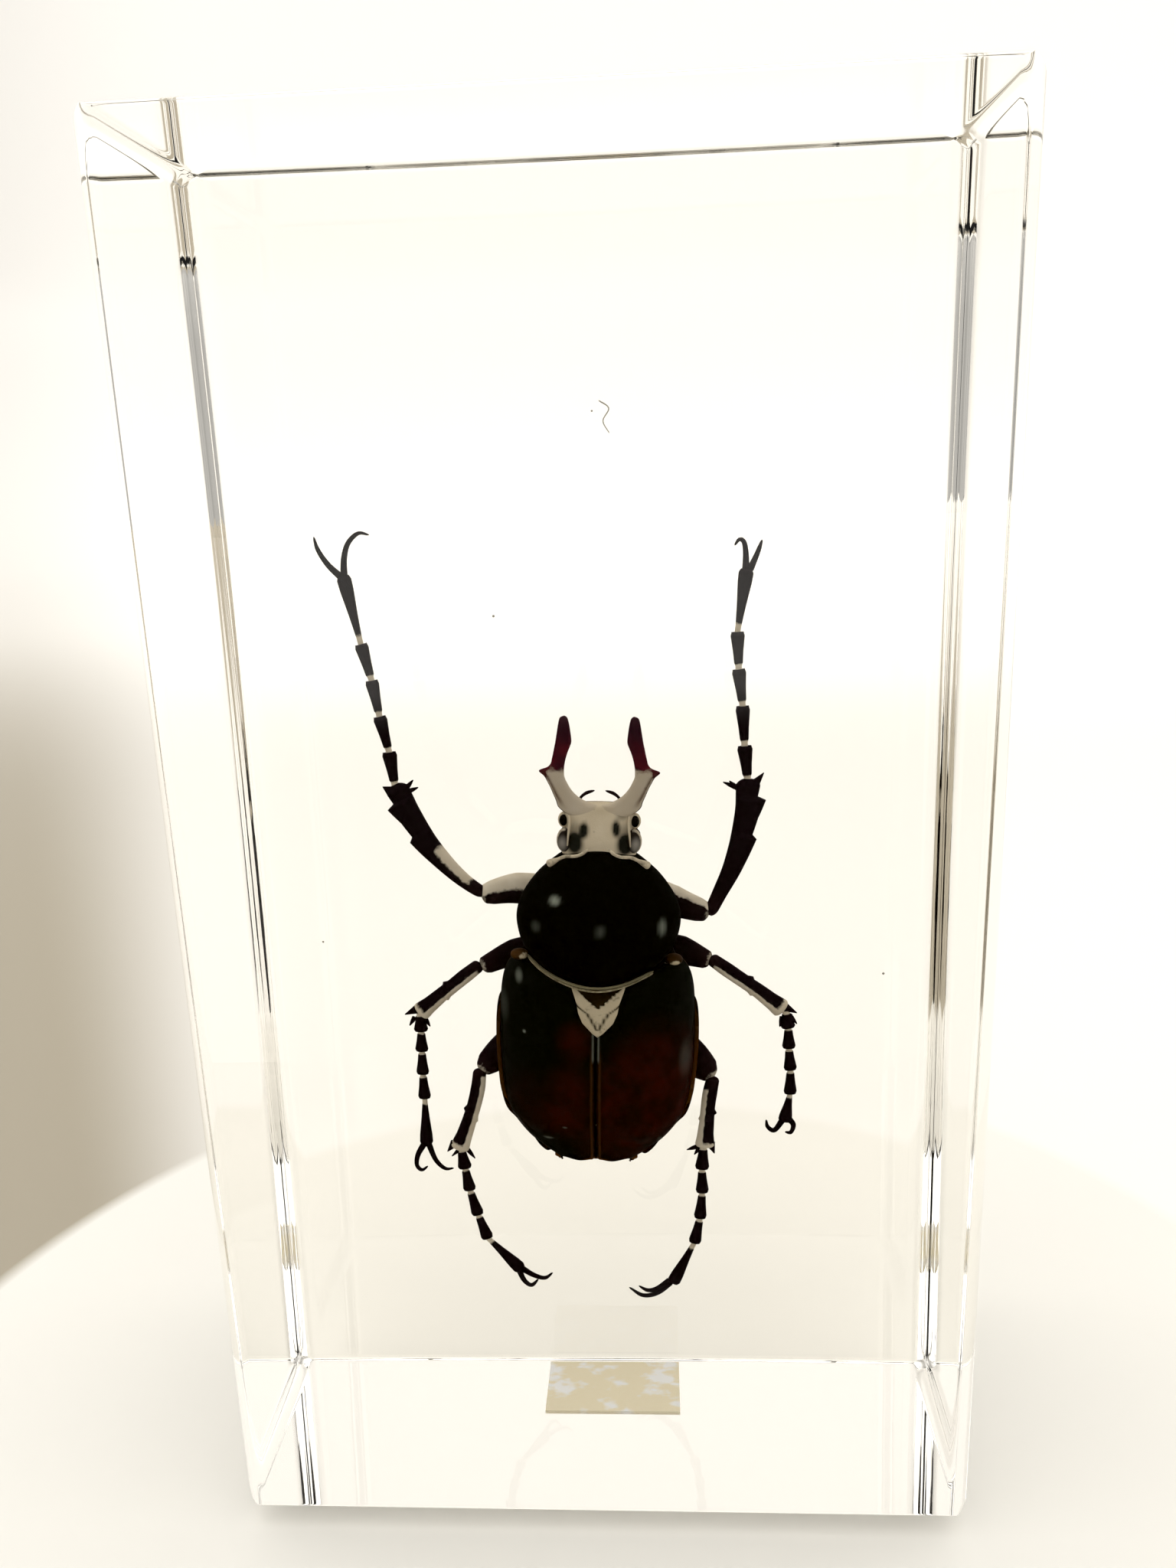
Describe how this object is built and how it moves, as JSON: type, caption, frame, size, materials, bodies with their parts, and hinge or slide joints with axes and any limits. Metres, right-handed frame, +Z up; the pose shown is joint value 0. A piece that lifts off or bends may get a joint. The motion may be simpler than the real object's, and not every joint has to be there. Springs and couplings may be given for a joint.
{
  "type": "insect in resin block",
  "caption": "Upright clear resin block with rounded edges, a horned flower beetle spread out inside it and a small paper label under its base.",
  "frame": {"origin": "under the middle of the block, on the surface that it stands on", "axes": "+Z up along the block's height, the beetle's back faces -Y, +X to the viewer's right"},
  "size_m": [0.0414, 0.022, 0.0735],
  "materials": {
    "clear_resin": "polished clear casting resin, slightly warm",
    "beetle_cuticle": "near-black to dark red wing cases, white bloom on head and limbs",
    "label_paper": "buff paper sticker, bare"
  },
  "bodies": {
    "root": {"resin_front": "clear_resin", "resin_back": "clear_resin", "beetle": "beetle_cuticle", "label": "label_paper"}
  },
  "joints": []
}
